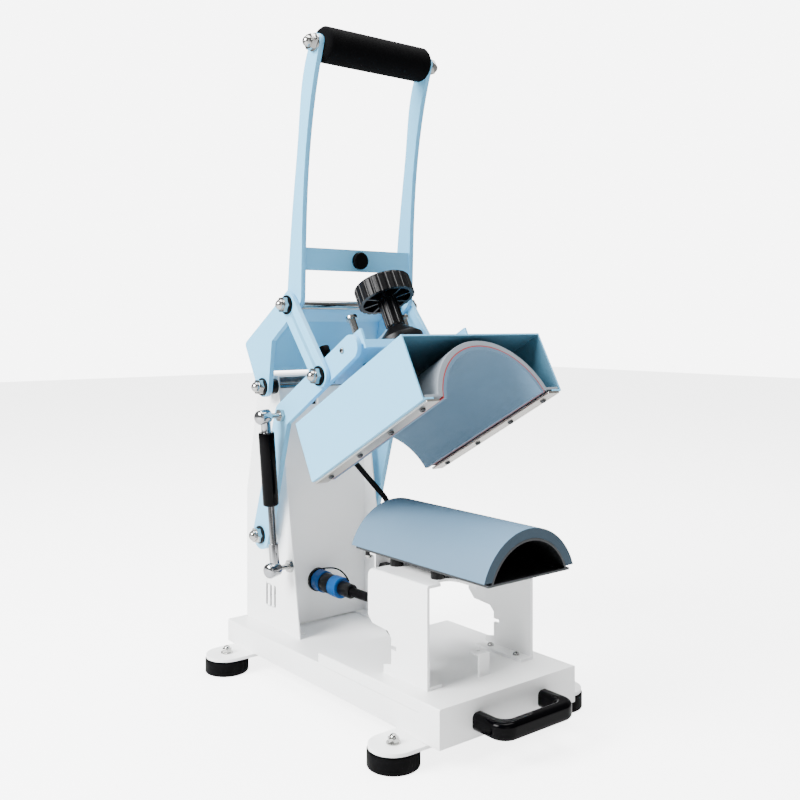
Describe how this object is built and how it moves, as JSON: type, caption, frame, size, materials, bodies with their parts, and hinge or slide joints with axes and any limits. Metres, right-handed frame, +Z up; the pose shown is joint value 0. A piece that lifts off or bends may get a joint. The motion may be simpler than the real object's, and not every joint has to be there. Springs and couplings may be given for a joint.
{
  "type": "shin guard heat press",
  "caption": "Bench heat press for curved guards: swing-down arched head on a toggle handle, half-round platen on a drawer tray, column, round adjusting knob.",
  "frame": {"origin": "centre of the footprint on the ground", "axes": "+Z up, -Y to the front where the tray's bow handle is, +X to the right-hand side"},
  "size_m": [0.274, 0.438, 0.7307],
  "materials": {
    "white_coat": "satin powder coat",
    "blue_coat": "satin powder coat",
    "zinc_steel": "bright zinc",
    "strut_chrome": "polished",
    "strut_black": "satin",
    "black_rubber": "matte",
    "black_plastic": "fine grain",
    "black_gloss": "gloss",
    "blue_plastic": "satin",
    "grey_plastic": "matte",
    "lens": "smoked",
    "pad_blue": "matte silicone",
    "mat_red": "silicone",
    "bare_aluminium": "mill"
  },
  "bodies": {
    "root": {"base_frame": "white_coat", "foot_bars": "white_coat", "rubber_feet": "black_rubber", "foot_bolts": "zinc_steel", "outer_rails": "white_coat", "column_sides": "white_coat", "column_front_panel": "white_coat", "column_cover": "white_coat", "closing_sensor": "black_plastic", "pivot_shafts": "zinc_steel", "pivot_bushes": "black_plastic", "pivot_nuts": "zinc_steel", "lower_ball_stud": "zinc_steel", "connector_body": "black_plastic", "connector_rings": "blue_plastic", "platen_cable": "black_rubber", "head_cable": "black_rubber", "cable_grommet": "black_rubber", "controller_bezel": "black_plastic", "display_lens": "lens", "power_inlet": "black_plastic", "switch_bezel": "black_plastic"},
    "tray": {"tray": "white_coat", "bow_handle": "black_gloss", "inner_rails": "zinc_steel", "cradle": "white_coat", "platen_pad": "pad_blue", "platen_shell": "bare_aluminium", "platen_spacers": "black_plastic", "platen_gland": "black_plastic", "gland_bracket": "white_coat"},
    "arm": {"arm_plates": "blue_coat", "arm_pins": "zinc_steel", "bridge": "blue_coat", "pressure_collar": "black_plastic", "stop_studs": "black_rubber", "upper_ball_stud": "zinc_steel"},
    "head": {"hood": "blue_coat", "heater_shell": "bare_aluminium", "red_mat": "mat_red", "upper_pad": "pad_blue", "clamp_strips": "bare_aluminium", "guide_posts": "zinc_steel", "thrust_plate": "zinc_steel"},
    "knob": {"knob": "black_plastic", "pressure_screw": "zinc_steel"},
    "handle": {"handle_plates": "blue_coat", "bumper": "black_rubber", "web_panel": "blue_coat", "cross_rods": "zinc_steel", "grip_foam": "black_rubber", "handle_nuts": "zinc_steel"},
    "link": {"toggle_links": "blue_coat", "link_bolts": "zinc_steel"},
    "strut_cylinder": {"strut_cylinder": "strut_black"},
    "strut_rod": {"strut_rod": "strut_chrome"},
    "button_down": {"button_down": "grey_plastic"},
    "button_set": {"button_set": "grey_plastic"},
    "button_up": {"button_up": "grey_plastic"},
    "rocker": {"rocker": "black_plastic"}
  },
  "joints": [
    {"name": "tray_slide", "type": "slide", "parent": "root", "child": "tray", "axis": [0, -1, 0], "range_m": [0, 0.12], "deforming": ["platen_cable"]},
    {"name": "arm_close", "type": "hinge", "parent": "root", "child": "arm", "pos_m": [0, 0.1547, 0.1583], "axis": [1, 0, 0], "range_deg": [0, 28.5], "stiffness_Nm_per_rad": 8, "springref_deg": -126.05, "deforming": ["head_cable"]},
    {"name": "handle_turn", "type": "hinge", "parent": "root", "child": "handle", "pos_m": [0, 0.1491, 0.3322], "axis": [1, 0, 0], "range_deg": [0, 71.5]},
    {"name": "link_turn", "type": "hinge", "parent": "handle", "child": "link", "pos_m": [0, 0.08649, 0.42723], "axis": [1, 0, 0], "range_deg": [-99.2, 0]},
    {"name": "strut_swing", "type": "hinge", "parent": "arm", "child": "strut_cylinder", "pos_m": [-0.102, 0.1073, 0.3019], "axis": [-0.9661, -0.2352, -0.1066], "range_deg": [0, 3.65]},
    {"name": "strut_slide", "type": "slide", "parent": "strut_cylinder", "child": "strut_rod", "axis": [0.0992, 0.0431, -0.9941], "range_m": [-0.0229, 0]},
    {"name": "head_slide", "type": "slide", "parent": "arm", "child": "head", "axis": [0, 0.4772, 0.8788], "range_m": [-0.00125, 0.003]},
    {"name": "knob_turn", "type": "hinge", "parent": "head", "child": "knob", "pos_m": [0, -0.0062, 0.39143], "axis": [0, 0.4772, 0.8788], "range_deg": [-151, 361]},
    {"name": "rocker_tilt", "type": "hinge", "parent": "root", "child": "rocker", "pos_m": [0.024, 0.214, 0.084], "axis": [1, 0, 0], "range_deg": [0, 16]},
    {"name": "button_down_press", "type": "slide", "parent": "root", "child": "button_down", "axis": [-1, 0, 0], "range_m": [0, 0.0015], "stiffness_N_per_m": 400, "springref_m": -0.001},
    {"name": "button_set_press", "type": "slide", "parent": "root", "child": "button_set", "axis": [-1, 0, 0], "range_m": [0, 0.0015], "stiffness_N_per_m": 400, "springref_m": -0.001},
    {"name": "button_up_press", "type": "slide", "parent": "root", "child": "button_up", "axis": [-1, 0, 0], "range_m": [0, 0.0015], "stiffness_N_per_m": 400, "springref_m": -0.001}
  ],
  "couplings": [
    {"joint": "handle_turn", "follows": "arm_close", "ratio": 2.5041},
    {"joint": "link_turn", "follows": "arm_close", "ratio": -3.4766},
    {"joint": "strut_swing", "follows": "arm_close", "ratio": 0.12618},
    {"joint": "strut_slide", "follows": "arm_close", "m_per_rad": -0.045945},
    {"joint": "knob_turn", "follows": "head_slide", "rad_per_m": 2094.4}
  ]
}
